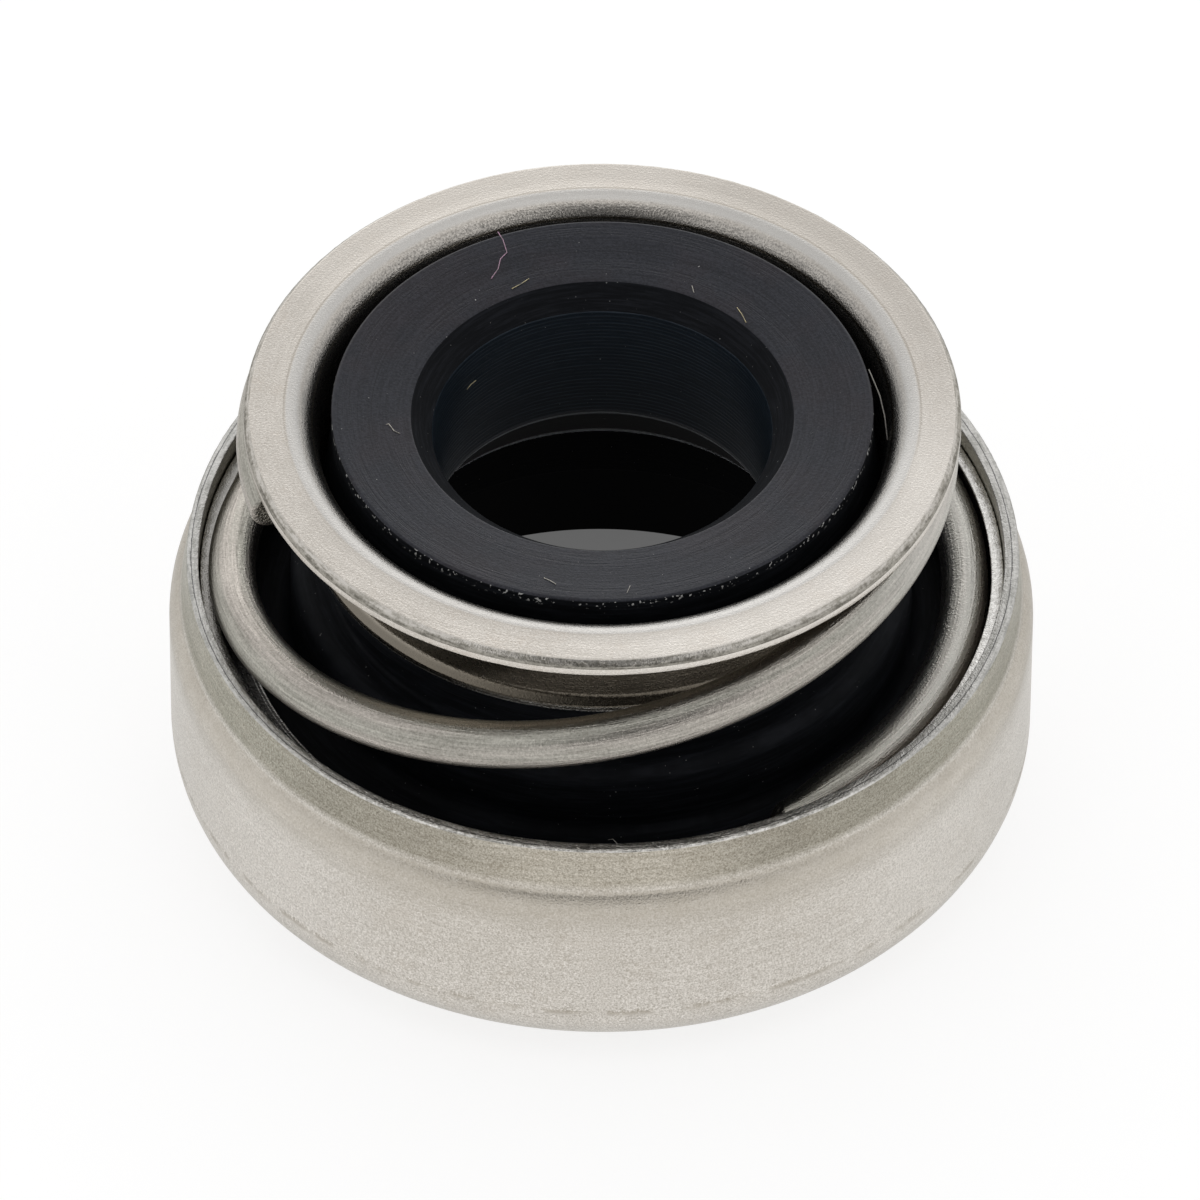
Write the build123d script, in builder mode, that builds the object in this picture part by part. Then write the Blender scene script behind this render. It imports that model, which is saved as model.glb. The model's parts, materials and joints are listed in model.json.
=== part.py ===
"""Rotary unit of an elastomer-bellows shaft seal for a 16 mm pump shaft.

A pressed cup carries the sealing ring and the front of a moulded rubber bellows.
An open coil spring stands on a pressed seat in the mouth of the cup and pushes on
the flange of a pressed holder, whose neck grips the rubber tail.

Frame: millimetres, +Z up along the shaft axis, origin at the centre of the sealing
face. The sealing face looks down, the tail and the flange of the holder are on top.
"""
import os
from math import cos, radians, sin

from build123d import *

os.makedirs("parts", exist_ok=True)

# ---------------------------------------------------------------- driving dimensions
shaft_r = 8.0
bore_squeeze = 0.22            # the free rubber bore is this much under the shaft, on radius
bore_r = shaft_r - bore_squeeze
overall_h = 22.6               # sealing face to the top of the holder's flange
edge_break = 0.07              # what tumbling leaves on a sheared edge

# pressed cup, open at both ends, with a necked-in mouth
cup_r = 20.0                   # outside of the belly
cup_wall = 0.55
cup_bottom_z = 0.45            # the sealing nose stands proud by this much
cup_hole_r = 16.75
cup_corner_r = 2.9             # outside radius of the bottom corner
cup_shoulder_z = 10.2          # where the belly turns in to the mouth
cup_neck_z = 10.78             # where the mouth starts
cup_neck_r = 19.47
cup_rim_r = 19.16
cup_rim_z = 13.2
cup_shoulder_round = 1.4
cup_neck_round = 0.6

# pressed L-section seat under the spring
seat_wall = 0.45
seat_r = 18.55
seat_top_z = 12.2
seat_ledge_z = 10.06           # upper face of the ledge
seat_hole_r = 16.57
seat_bend_r = 0.4              # inside radius of the bend

# sealing ring, with a raised nose
face_in_r = 14.75
face_out_r = 16.4
ring_body_r = 17.9
ring_top_z = 6.6
ring_chamfer = 0.9
nose_bevel = 0.15

# moulded bellows: outside of the front end, barrel and waist
skirt_low_z = 3.3
skirt_bevel_w = 0.5
skirt_bevel_h = 0.9
skirt_gap = 0.03               # drawn air round the sealing ring
front_r = 19.3                 # flange clamped between the ring and the spring seat
foot_r = 0.6                   # fillet from that flange into the barrel
body_r = 14.36
body_top_z = 13.35
shoulder_w = 0.75              # the domed shoulder of the barrel
shoulder_h = 0.9
waist_r = 12.6
waist_z = 14.3
collar_r = 13.55               # collar just under the holder
collar_low_z = 15.8
collar_gap = 0.04              # drawn air between the collar and the holder's low end

# moulded bellows: the gripped tail and the inside
tail_grip_r = 12.84            # where the holder's neck bites
tail_grip_h = 0.9
tail_top_r = 12.43
tail_straight_h = 1.6          # the free top of the tail has a straight side
tail_edge_w = 0.15             # small round of its outer edge
tail_top_gap = 0.03            # the outer edge stays this far under the flange's face
tail_dish = 0.42               # the tail's end face falls this much towards the bore
lead_in = 1.01                 # 45 degree chamfer at the bore's mouth
bore_end_z = 14.66
lip_r = 9.92                   # mouth of the cone under the bore
lip_z = 11.3
undercut_h = 0.75
cavity_r = 12.1
cavity_top_z = 10.7

# pressed holder
holder_wall = 0.65
holder_flange_r = 16.45
holder_inner_r = 13.15         # inside of the neck at the top
holder_roll_r = 1.4            # soft roll from the flange into the neck
holder_bend_r = holder_roll_r - holder_wall
holder_grip_r = 12.9           # inside of the neck where it bites
holder_thinning = 0.05         # drawing thins the neck by this much
holder_low_z = 16.95
holder_lip_r = 13.78           # small turned-out lip at the low end
holder_lip_h = 0.26
holder_flare_h = 0.3

# coil spring, closed at both ends
wire_r = 1.09
rise_start_deg = 125.0         # the low end coil is closed up to here
rise_end_deg = 347.0           # the high end coil is closed from here
wire_gap = 0.03                # drawn air where the wire rests on pressed metal
coil_stations = (              # turning angle in degrees, radius of the wire's centre
    (-62.0, 16.98),
    (-30.0, 16.78),
    (0.0, 16.82),
    (30.0, 16.97),
    (75.0, 16.98),
    (112.0, 16.97),
    (140.0, 16.96),
    (165.0, 16.96),
    (190.0, 17.11),
    (215.0, 17.14),
    (240.0, 17.03),
    (265.0, 16.81),
    (290.0, 16.47),
    (315.0, 16.00),
    (340.0, 15.50),
    (370.0, 15.16),
    (415.0, 15.04),
    (465.0, 15.16),
    (515.0, 15.57),
    (558.0, 15.76),
)


def smooth(t):
    """Zero to one with level ends."""
    t = min(max(t, 0.0), 1.0)
    return t * t * (3.0 - 2.0 * t)


# ------------------------------------------------------------------------------ cup
# One strip of sheet: a line along the outside of the wall, thickened inwards.
with BuildPart() as shell:
    with BuildSketch(Plane.XZ):
        with BuildLine():
            FilletPolyline(
                (cup_hole_r, cup_bottom_z),
                (cup_r, cup_bottom_z),
                (cup_r, cup_shoulder_z),
                (cup_neck_r, cup_neck_z),
                (cup_rim_r, cup_rim_z),
                radius=[cup_corner_r, cup_shoulder_round, cup_neck_round],
            )
            offset(amount=cup_wall, side=Side.LEFT)
        make_face()
    revolve(axis=Axis.Z)
    rim_edges = shell.edges().filter_by(GeomType.CIRCLE).group_by(Axis.Z)[-1]
    fillet(rim_edges, edge_break)
shell.part.label = "shell"
export_step(shell.part, "parts/shell.step")

# ---------------------------------------------------------------------- spring seat
# An L of sheet: the ledge carries the spring, the wall stands inside the cup's mouth.
seat_bottom_z = seat_ledge_z - seat_wall
with BuildPart() as spring_seat:
    with BuildSketch(Plane.XZ):
        with BuildLine():
            FilletPolyline(
                (seat_hole_r, seat_bottom_z),
                (seat_r, seat_bottom_z),
                (seat_r, seat_top_z),
                radius=seat_bend_r + seat_wall,
            )
            offset(amount=seat_wall, side=Side.LEFT)
        make_face()
    revolve(axis=Axis.Z)
    seat_edges = spring_seat.edges().filter_by(GeomType.CIRCLE).group_by(Axis.Z)[-1]
    fillet(seat_edges, edge_break)
spring_seat.part.label = "spring_seat"
export_step(spring_seat.part, "parts/spring_seat.step")

# --------------------------------------------------------------------- sealing ring
# A plain carbon ring: the body sits on the cup's bottom, the nose reaches through.
ring_seat_z = cup_bottom_z + cup_wall
with BuildPart() as primary_ring:
    with BuildSketch(Plane.XZ):
        with BuildLine():
            Polyline(
                (face_in_r, 0.0),
                (face_out_r - nose_bevel, 0.0),
                (face_out_r, nose_bevel),
                (face_out_r, ring_seat_z),
                (ring_body_r - ring_chamfer, ring_seat_z),
                (ring_body_r, ring_seat_z + ring_chamfer),
                (ring_body_r, ring_top_z),
                (face_in_r, ring_top_z),
                close=True,
            )
        make_face()
    revolve(axis=Axis.Z)
primary_ring.part.label = "primary_ring"
export_step(primary_ring.part, "parts/primary_ring.step")

# -------------------------------------------------------------------------- bellows
# One moulding. Outside, from the skirt up: skirt, front flange under the spring seat,
# barrel, rolled shoulder, waist, collar under the holder, gripped tail, end face.
# Inside, from the mouth down: lead-in, shaft bore, cone, undercut lip, cavity.
# The tail travels with the holder while the front stays in the cup, so the moulding is
# kept as two sub-parts that meet face to face where the shaft bore ends.
skirt_in_r = ring_body_r + skirt_gap
collar_top_z = holder_low_z - collar_gap
tail_bore_r = bore_r + lead_in
tail_bore_z = overall_h - tail_dish
tail_edge_z = overall_h - tail_top_gap
with BuildPart() as moulding:
    with BuildSketch(Plane.XZ):
        with BuildLine():
            skirt = Polyline(
                (cavity_r, ring_top_z),
                (skirt_in_r, ring_top_z),
                (skirt_in_r, skirt_low_z),
                (front_r - skirt_bevel_w, skirt_low_z),
                (front_r, skirt_low_z + skirt_bevel_h),
                (front_r, seat_bottom_z),
                (body_r + foot_r, seat_bottom_z),
            )
            foot = TangentArc(skirt @ 1, (body_r, seat_bottom_z + foot_r), tangent=(-1, 0))
            barrel = Line(foot @ 1, (body_r, body_top_z - shoulder_h))
            shoulder = TangentArc(
                barrel @ 1, (body_r - shoulder_w, body_top_z), tangent=barrel % 1
            )
            waist = ThreePointArc(shoulder @ 1, (waist_r, waist_z), (collar_r, collar_low_z))
            tail = Polyline(
                waist @ 1,
                (collar_r, collar_top_z),
                (tail_grip_r, collar_top_z),
                (tail_grip_r, collar_top_z + tail_grip_h),
                (tail_top_r, overall_h - tail_straight_h),
                (tail_top_r, tail_edge_z - tail_edge_w),
            )
            tail_edge = TangentArc(
                tail @ 1, (tail_top_r - tail_edge_w, tail_edge_z), tangent=(0, 1)
            )
            bore = Polyline(
                tail_edge @ 1,
                (tail_bore_r, tail_bore_z),
                (bore_r, tail_bore_z - lead_in),
                (bore_r, bore_end_z),
                (lip_r, lip_z),
            )
            undercut = ThreePointArc(
                bore @ 1,
                ((lip_r + cavity_r) / 2, lip_z + undercut_h),
                (cavity_r, cavity_top_z),
            )
            Line(undercut @ 1, skirt @ 0)
        make_face()
    revolve(axis=Axis.Z)
tail_plane = Plane.XY.offset(bore_end_z)

with BuildPart() as bellows:
    add(moulding.part)
    split(bisect_by=tail_plane, keep=Keep.BOTTOM)
bellows.part.label = "bellows"
export_step(bellows.part, "parts/bellows.step")

with BuildPart() as bellows_tail:
    add(moulding.part)
    split(bisect_by=tail_plane, keep=Keep.TOP)
bellows_tail.part.label = "bellows_tail"
export_step(bellows_tail.part, "parts/bellows_tail.step")

# --------------------------------------------------------------------------- holder
# A drawn flange whose roll turns down into a slightly tapered neck. The neck's low end
# is trimmed with a small lip turned out, which keeps the tail's collar under it.
neck_out_r = holder_inner_r + holder_wall
grip_out_r = holder_grip_r + holder_wall - holder_thinning
flange_low_z = overall_h - holder_wall
lip_top_z = holder_low_z + holder_lip_h
with BuildPart() as spring_holder:
    with BuildSketch(Plane.XZ):
        with BuildLine():
            flange = Polyline(
                (holder_inner_r + holder_roll_r, overall_h),
                (holder_flange_r, overall_h),
                (holder_flange_r, flange_low_z),
                (neck_out_r + holder_bend_r, flange_low_z),
            )
            bend = TangentArc(
                flange @ 1, (neck_out_r, flange_low_z - holder_bend_r), tangent=(-1, 0)
            )
            neck = Line(bend @ 1, (grip_out_r, lip_top_z + holder_flare_h))
            flare = TangentArc(neck @ 1, (holder_lip_r, lip_top_z), tangent=neck % 1)
            inside = Polyline(
                flare @ 1,
                (holder_lip_r, holder_low_z),
                (holder_grip_r, holder_low_z),
                (holder_inner_r, overall_h - holder_roll_r),
            )
            RadiusArc(inside @ 1, flange @ 0, holder_roll_r)
        make_face()
    revolve(axis=Axis.Z)
    flange_edges = spring_holder.edges().filter_by(
        lambda edge: edge.geom_type == GeomType.CIRCLE
        and round(edge.radius - holder_flange_r, 6) == 0
    )
    fillet(flange_edges, edge_break)
spring_holder.part.label = "spring_holder"
export_step(spring_holder.part, "parts/spring_holder.step")

# --------------------------------------------------------------------------- spring
# Closed end coils joined by one rising stretch. The low coil fills the seat, and the
# high coil winds in under the flange, so the coil is a little out of round.
coil_low_z = seat_ledge_z + wire_r + wire_gap
coil_high_z = flange_low_z - wire_r - wire_gap


def coil_point(turn_deg, radius):
    """A point of the wire's centre line at this turning angle."""
    rise = smooth((turn_deg - rise_start_deg) / (rise_end_deg - rise_start_deg))
    height = coil_low_z + (coil_high_z - coil_low_z) * rise
    angle = radians(turn_deg)
    return (radius * cos(angle), radius * sin(angle), height)


with BuildPart() as spring:
    with BuildLine():
        coil = Spline(*[coil_point(turn, radius) for turn, radius in coil_stations])
    with BuildSketch(Plane(origin=coil @ 0, z_dir=coil % 0)):
        Circle(wire_r)
    sweep(path=coil)
spring.part.label = "spring"
export_step(spring.part, "parts/spring.step")
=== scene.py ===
import json
import math

import bmesh
import bpy
from mathutils import Matrix, Vector, noise

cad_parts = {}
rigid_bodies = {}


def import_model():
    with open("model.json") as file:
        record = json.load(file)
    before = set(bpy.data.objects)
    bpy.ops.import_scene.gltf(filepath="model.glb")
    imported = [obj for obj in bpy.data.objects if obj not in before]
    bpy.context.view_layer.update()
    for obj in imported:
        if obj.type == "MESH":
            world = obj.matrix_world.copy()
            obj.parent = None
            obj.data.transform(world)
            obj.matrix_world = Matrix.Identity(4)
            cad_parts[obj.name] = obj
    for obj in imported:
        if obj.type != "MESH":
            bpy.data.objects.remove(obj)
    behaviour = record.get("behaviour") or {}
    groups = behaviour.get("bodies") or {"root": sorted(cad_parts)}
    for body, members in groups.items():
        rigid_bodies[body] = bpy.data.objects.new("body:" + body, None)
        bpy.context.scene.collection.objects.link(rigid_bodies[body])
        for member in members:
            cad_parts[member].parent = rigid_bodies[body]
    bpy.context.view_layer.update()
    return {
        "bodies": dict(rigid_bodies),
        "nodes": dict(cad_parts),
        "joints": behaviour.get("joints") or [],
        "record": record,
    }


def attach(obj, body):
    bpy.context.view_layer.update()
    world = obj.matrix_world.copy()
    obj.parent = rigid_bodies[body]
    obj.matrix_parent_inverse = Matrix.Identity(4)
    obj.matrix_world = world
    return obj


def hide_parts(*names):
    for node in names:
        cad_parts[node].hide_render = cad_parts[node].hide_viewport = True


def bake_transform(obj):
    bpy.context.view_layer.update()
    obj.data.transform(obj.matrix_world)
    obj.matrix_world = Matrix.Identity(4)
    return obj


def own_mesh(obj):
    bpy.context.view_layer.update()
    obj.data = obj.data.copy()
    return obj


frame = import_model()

MM = 0.001
FULL_TURN = 2.0 * math.pi

# ------------------------------------------------------------------ sizes, in mm
overall_h = 22.6

cup_r = 20.0
cup_wall = 0.55
cup_bottom_z = 0.45
cup_hole_r = 16.75
cup_corner_r = 2.9
cup_shoulder_z = 10.2
cup_neck_z = 10.78
cup_neck_r = 19.47
cup_rim_r = 19.16
cup_rim_z = 13.2
cup_inside_r = cup_r - cup_wall
cup_mouth_r = cup_rim_r - cup_wall

seat_wall = 0.45
seat_r = 18.55
seat_top_z = 12.2
seat_ledge_z = 10.06
seat_hole_r = 16.57
seat_inside_r = seat_r - seat_wall
seat_lip_r = seat_r - seat_wall - 0.12      # the sheared edge is rolled in a little

face_in_r = 14.75
face_out_r = 16.4
nose_h = 1.0
ring_body_r = 17.9
ring_body_low_z = 1.9
ring_top_z = 6.6

bore_r = 7.78
skirt_in_r = ring_body_r + 0.03
skirt_low_z = 3.3
front_r = 19.3
front_top_z = 9.61
barrel_r = 14.36
collar_r = 13.55
collar_top_z = 16.91
gripped_r = 12.84
tail_r = 12.43
tail_top_z = 22.57
cavity_r = 12.1

holder_wall = 0.65
holder_flange_r = 16.45
holder_side_top_z = 22.2
holder_side_low_z = 21.82
holder_roll_r = 1.4
holder_inner_r = 13.15
holder_grip_r = 12.9
holder_low_z = 16.95
holder_lip_r = 13.78
holder_lip_edge_r = holder_lip_r + 0.05
holder_lip_top_z = 17.2
holder_lip_edge_z = 16.83
holder_under_z = overall_h - holder_wall

wire_r = 1.09
rise_start_deg = 125.0
rise_end_deg = 347.0
wire_gap = 0.03
# Turning angle in degrees and radius of the wire's centre, from the low end on.
coil_stations = (
    (-62.0, 16.98),
    (-30.0, 16.78),
    (0.0, 16.82),
    (30.0, 16.97),
    (75.0, 16.98),
    (112.0, 16.97),
    (140.0, 16.96),
    (165.0, 16.96),
    (190.0, 17.11),
    (215.0, 17.14),
    (240.0, 17.03),
    (265.0, 16.81),
    (290.0, 16.47),
    (315.0, 16.00),
    (340.0, 15.50),
    (370.0, 15.16),
    (415.0, 15.04),
    (465.0, 15.16),
    (515.0, 15.57),
    (558.0, 15.76),
)


# ------------------------------------------------------------------ turned pieces
def smooth(t):
    """Zero to one with level ends."""
    t = min(max(t, 0.0), 1.0)
    return t * t * (3.0 - 2.0 * t)


def linked_object(name, bm):
    """An object at the origin, in the scene, from a finished bmesh."""
    mesh = bpy.data.meshes.new(name)
    bm.to_mesh(mesh)
    bm.free()
    made = bpy.data.objects.new(name, mesh)
    bpy.context.scene.collection.objects.link(made)
    return made


def finished_piece(name, bm):
    """A smooth-shaded piece with its faces outwards."""
    bmesh.ops.recalc_face_normals(bm, faces=bm.faces)
    for face in bm.faces:
        face.smooth = True
    return linked_object(name, bm)


def section_outline(bm, corners):
    """Closed outline in the XZ plane. Each corner is radius, height and round-over."""
    verts = [bm.verts.new((r * MM, 0.0, z * MM)) for r, z, _ in corners]
    bm.faces.new(verts)
    for vert, (_, _, round_over) in zip(verts, corners):
        if round_over:
            bmesh.ops.bevel(
                bm,
                geom=[vert],
                offset=round_over * MM,
                offset_type="OFFSET",
                affect="VERTICES",
                segments=min(12, int(3 + round_over * 5)),
                profile=0.5,
                material=-1,
            )
    bmesh.ops.delete(bm, geom=bm.faces[:], context="FACES_ONLY")


held_length = 0.6       # a flat longer than this is held straight at both ends
hold = 0.03             # how near its end a flat is held
longest_step = 1.0      # a flat is divided into steps no longer than this


def close_loops(bm):
    """Holds flats straight beside their round-overs, then divides what is still long."""
    for edge in bm.edges[:]:
        length = edge.calc_length()
        if length > held_length * MM:
            first, second = edge.verts
            far_edge, _ = bmesh.utils.edge_split(edge, first, hold * MM / length)
            for part in (far_edge, edge):
                if second in part.verts:
                    rest = part.calc_length()
                    bmesh.utils.edge_split(part, second, hold * MM / rest)
                    break
    bm.edges.ensure_lookup_table()
    for edge in bm.edges[:]:
        cuts = int(edge.calc_length() / (longest_step * MM))
        if cuts:
            bmesh.ops.subdivide_edges(bm, edges=[edge], cuts=cuts)


wedges = 64     # a narrow wedge is spun, then copied round until the turn is full
weld = 1e-7     # metres


def only(kind, geometry):
    """The members of an operator's result that are of one kind."""
    return [member for member in geometry if isinstance(member, kind)]


def turned(name, corners, around, unevenness=None):
    """A piece lathed from its section, with small unevenness worked in afterwards."""
    bm = bmesh.new()
    section_outline(bm, corners)
    close_loops(bm)
    wedge = FULL_TURN / wedges
    bmesh.ops.spin(
        bm,
        geom=bm.verts[:] + bm.edges[:],
        cent=(0.0, 0.0, 0.0),
        axis=(0.0, 0.0, 1.0),
        angle=wedge,
        steps=around // wedges,
    )
    while wedge < FULL_TURN * 0.99:
        copy = bmesh.ops.duplicate(bm, geom=bm.verts[:] + bm.edges[:] + bm.faces[:])
        bmesh.ops.rotate(
            bm,
            cent=(0.0, 0.0, 0.0),
            matrix=Matrix.Rotation(wedge, 3, "Z"),
            verts=only(bmesh.types.BMVert, copy["geom"]),
        )
        wedge *= 2.0
    bmesh.ops.remove_doubles(bm, verts=bm.verts, dist=weld)
    if unevenness:
        for vert in bm.verts:
            x, y, z = (c / MM for c in vert.co)
            r = math.hypot(x, y)
            dr, dz = unevenness(x / r, y / r, r, z)
            vert.co = ((x + x / r * dr) * MM, (y + y / r * dr) * MM, (z + dz) * MM)
    return finished_piece(name, bm)


def ripple(c, s, waves, seed):
    """Smooth noise round the axis, about -1 to 1, with no seam."""
    return noise.noise(Vector((c * waves, s * waves, seed)))


def near(value, centre, width):
    """One at the centre, fading to nothing at the width either side."""
    return smooth(1.0 - abs(value - centre) / width)


def torn(c, s, r, z, waves, seed):
    """Fine unevenness of a sheared edge: runs in every direction."""
    place = Vector((c * waves, s * waves, (r + z) * 6.0 + seed))
    return noise.noise(place) + 0.6 * noise.noise(place * 2.3)


# Each of the next three takes the cosine and sine of a point's angle, its radius and
# its height, and gives how far it moves outwards and upwards.
burr_depth = 0.012      # mm, on the sheared edges
sheared_band = 0.2      # mm, how far the shear's marks reach down from an edge


def cup_unevenness(c, s, r, z):
    """Not quite round, with a crease at the foot and a mouth that swells to one side."""
    slow = ripple(c, s, 1.6, 3.1) * 0.02
    crease = -0.03 * near(z, 3.5, 0.45) * max(0.0, 0.3 + ripple(c, s, 4.0, 1.9) * 1.5)
    rim = near(z, cup_rim_z, sheared_band)
    burr = rim * torn(c, s, r, z, 75.0, 5.0) * burr_depth
    wave = smooth((z - 10.9) / 2.0) * ripple(c, s, 4.0, 11.0) * 0.03
    swell = 0.13 * max(0.0, c) * smooth((z - 11.5) / 1.5) * smooth((r - 18.75) / 0.3)
    return slow + crease + wave + burr + swell, burr + rim * slow


def seat_unevenness(c, s, r, z):
    """A wavy sheared edge that leans out on the side where the cup swells."""
    rim = near(z, seat_top_z, sheared_band)
    burr = rim * torn(c, s, r, z, 75.0, 15.0) * burr_depth
    lean = 0.03 * max(0.0, c) * smooth((z - seat_ledge_z) / 2.0)
    return burr + lean + rim * ripple(c, s, 3.0, 23.0) * 0.04, burr


def holder_unevenness(c, s, r, z):
    """A broken flange edge, a slightly dished top and a frayed low lip."""
    broken = near(r, 16.3, 0.3) * near(z, 22.42, 0.26)
    burr = broken * torn(c, s, r, z * 3.0, 60.0, 35.0) * 0.026
    edge = near(r, holder_flange_r, 0.3) * near(z, holder_side_low_z, 0.12)
    drawn = edge * ripple(c, s, 14.0, 43.0) * 0.025
    top = smooth((z - 22.3) / 0.2) * near(r, 15.0, 2.4)
    dish = -0.02 * top * (0.5 + ripple(c, s, 3.0, 31.0))
    crease = -0.02 * top * near(r, 14.6, 0.12)
    lip = near(z, holder_low_z, 0.3)
    frayed = lip * torn(c, s, r, z, 50.0, 27.0) * burr_depth
    lowered = min(dish + crease + burr * 0.3, 0.0)
    return min(burr, 0.03) + frayed, lowered + drawn + frayed


# ------------------------------------------------------------------- coiled wire
def coil_radius(turn):
    """Radius of the wire's centre at a turning angle, on a smooth curve."""
    stations = coil_stations
    k = 0
    while k < len(stations) - 2 and turn > stations[k + 1][0]:
        k += 1

    def slope(i):
        low = max(i - 1, 0)
        high = min(i + 1, len(stations) - 1)
        return (stations[high][1] - stations[low][1]) / (
            stations[high][0] - stations[low][0]
        )

    (t0, r0), (t1, r1) = stations[k], stations[k + 1]
    width = t1 - t0
    u = (turn - t0) / width
    return (
        r0 * (2 * u**3 - 3 * u**2 + 1)
        + r1 * (3 * u**2 - 2 * u**3)
        + width * slope(k) * (u**3 - 2 * u**2 + u)
        + width * slope(k + 1) * (u**3 - u**2)
    )


coil_low_z = seat_ledge_z + wire_r + wire_gap
coil_high_z = overall_h - holder_wall - wire_r - wire_gap


def coil_point(turn):
    """The wire's centre at a turning angle, in metres."""
    rise = smooth((turn - rise_start_deg) / (rise_end_deg - rise_start_deg))
    height = coil_low_z + (coil_high_z - coil_low_z) * rise
    angle = math.radians(turn)
    radius = coil_radius(turn)
    return Vector((radius * math.cos(angle), radius * math.sin(angle), height)) * MM


def coil_frame(turn):
    """Where a cross-section of the wire stands: outwards, up and along the wire."""
    place = coil_point(turn)
    ahead = coil_point(min(turn + 0.5, coil_stations[-1][0]))
    behind = coil_point(max(turn - 0.5, coil_stations[0][0]))
    along = (ahead - behind).normalized()
    out = Vector((place.x, place.y, 0.0)).normalized()
    out = (out - along * out.dot(along)).normalized()
    up = along.cross(out) * -1.0
    frame = Matrix((out, up, along)).transposed().to_4x4()
    frame.translation = place
    return frame


def swept_on(bm, edges, here, there):
    """Extrudes a ring of edges and carries the new ring to the next place."""
    made = bmesh.ops.extrude_edge_only(bm, edges=edges)["geom"]
    verts = only(bmesh.types.BMVert, made)
    bmesh.ops.transform(bm, matrix=there @ here.inverted(), verts=verts)
    return verts, only(bmesh.types.BMEdge, made)


def cap_open_ends(bm):
    open_edges = [edge for edge in bm.edges if edge.is_boundary]
    bmesh.ops.holes_fill(bm, edges=open_edges, sides=0)


def is_end(face):
    """Only the two ends of the wire have more than four corners."""
    return len(face.verts) > 4


wire_step_deg = 1.25
wire_around = 48
pinch_x, pinch_y = -0.8, 0.6        # side of the low end that the shears pressed in
pinch_depth, pinch_length = 0.5, 3.8
slant_depth, slant_length = 0.45, 1.6


def coiled_wire(name):
    """Sweeps the wire's round section along the coil and closes its sheared ends."""
    bm = bmesh.new()
    along_layer = bm.verts.layers.float_vector.new("wire_place")
    cut_layer = bm.verts.layers.float.new("cut_face")
    first, last = coil_stations[0][0], coil_stations[-1][0]
    steps = int((last - first) / wire_step_deg)
    turns = [first + (last - first) * k / steps for k in range(steps + 1)]
    here = coil_frame(turns[0])
    made = bmesh.ops.create_circle(
        bm, cap_ends=False, radius=wire_r * MM, segments=wire_around, matrix=here
    )
    rings = [made["verts"]]
    edges = bm.edges[:]
    for turn in turns[1:]:
        there = coil_frame(turn)
        verts, edges = swept_on(bm, edges, here, there)
        rings.append(verts)
        here = there
    travelled = 0.0
    for k, (turn, verts) in enumerate(zip(turns, rings)):
        place = coil_frame(turn)
        if k:
            travelled += (place.translation - coil_point(turns[k - 1])).length / MM
        back = place.inverted()
        for vert in verts:
            local = back @ vert.co
            vert[along_layer] = (travelled, local.x / MM, local.y / MM)
            pressed = (pinch_y * local.y + pinch_x * local.x) / (wire_r * MM)
            pressed = max(0.0, pressed)
            pinch = pinch_depth * pressed * smooth(1.0 - travelled / pinch_length)
            slant = slant_depth * pressed * smooth(1.0 - travelled / slant_length)
            moved = Vector((-pinch_x * pinch, -pinch_y * pinch, slant))
            vert.co = place @ (local + moved * MM)
    cap_open_ends(bm)
    rims = [edge for edge in bm.edges if any(is_end(face) for face in edge.link_faces)]
    bmesh.ops.bevel(
        bm,
        geom=rims,
        offset=0.1 * MM,
        offset_type="OFFSET",
        affect="EDGES",
        segments=3,
        profile=0.5,
        material=-1,
    )
    for end in [face for face in bm.faces if is_end(face)]:
        for _ in range(3):
            bmesh.ops.inset_region(bm, faces=[end], thickness=0.2 * MM)
            for vert in end.verts:
                vert[cut_layer] = 1.0
    return finished_piece(name, bm)


# -------------------------------------------------------------------- the pieces
# Each section runs round its outline. A corner is radius, height and round-over.
shell = turned(
    "shell_drawn_cup",
    [
        (cup_hole_r, cup_bottom_z, 0.08),
        (cup_r, cup_bottom_z, cup_corner_r),
        (cup_r, cup_shoulder_z, 0.6),
        (cup_neck_r, cup_neck_z, 0.4),
        (cup_rim_r, cup_rim_z, 0.11),
        (cup_mouth_r, cup_rim_z, 0.05),
        (cup_mouth_r, cup_neck_z - 0.05, 0.3),
        (cup_inside_r, cup_shoulder_z - 0.15, 0.35),
        (cup_inside_r, cup_bottom_z + cup_wall, cup_corner_r - cup_wall),
        (cup_hole_r, cup_bottom_z + cup_wall, 0.08),
    ],
    around=1024,
    unevenness=cup_unevenness,
)

spring_seat = turned(
    "spring_seat_ring",
    [
        (seat_hole_r, seat_ledge_z - seat_wall, 0.06),
        (seat_r, seat_ledge_z - seat_wall, 0.8),
        (seat_r, seat_top_z, 0.05),
        (seat_lip_r, seat_top_z, 0.05),
        (seat_lip_r, seat_top_z - 0.15, 0.06),
        (seat_inside_r, seat_top_z - 0.5, 0.1),
        (seat_inside_r, seat_ledge_z, 0.4),
        (seat_hole_r, seat_ledge_z, 0.06),
    ],
    around=1024,
    unevenness=seat_unevenness,
)

spring_holder = turned(
    "holder_flange_and_neck",
    [
        (holder_flange_r - 0.28, overall_h, 0.05),
        (holder_flange_r - 0.03, 22.32, 0.04),
        (holder_flange_r, holder_side_top_z, 0.0),
        (holder_flange_r, holder_side_low_z, 0.07),
        (holder_flange_r - 0.33, holder_under_z, 0.1),
        (holder_inner_r + holder_wall, holder_under_z, holder_roll_r - holder_wall),
        (holder_grip_r + 0.6, 17.5, 0.15),
        (holder_lip_edge_r, holder_lip_top_z, 0.04),
        (holder_lip_edge_r, holder_lip_edge_z, 0.04),
        (holder_lip_r - 0.18, holder_low_z, 0.03),
        (holder_grip_r, holder_low_z, 0.05),
        (holder_inner_r, overall_h, holder_roll_r),
    ],
    around=1024,
    unevenness=holder_unevenness,
)

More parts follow.
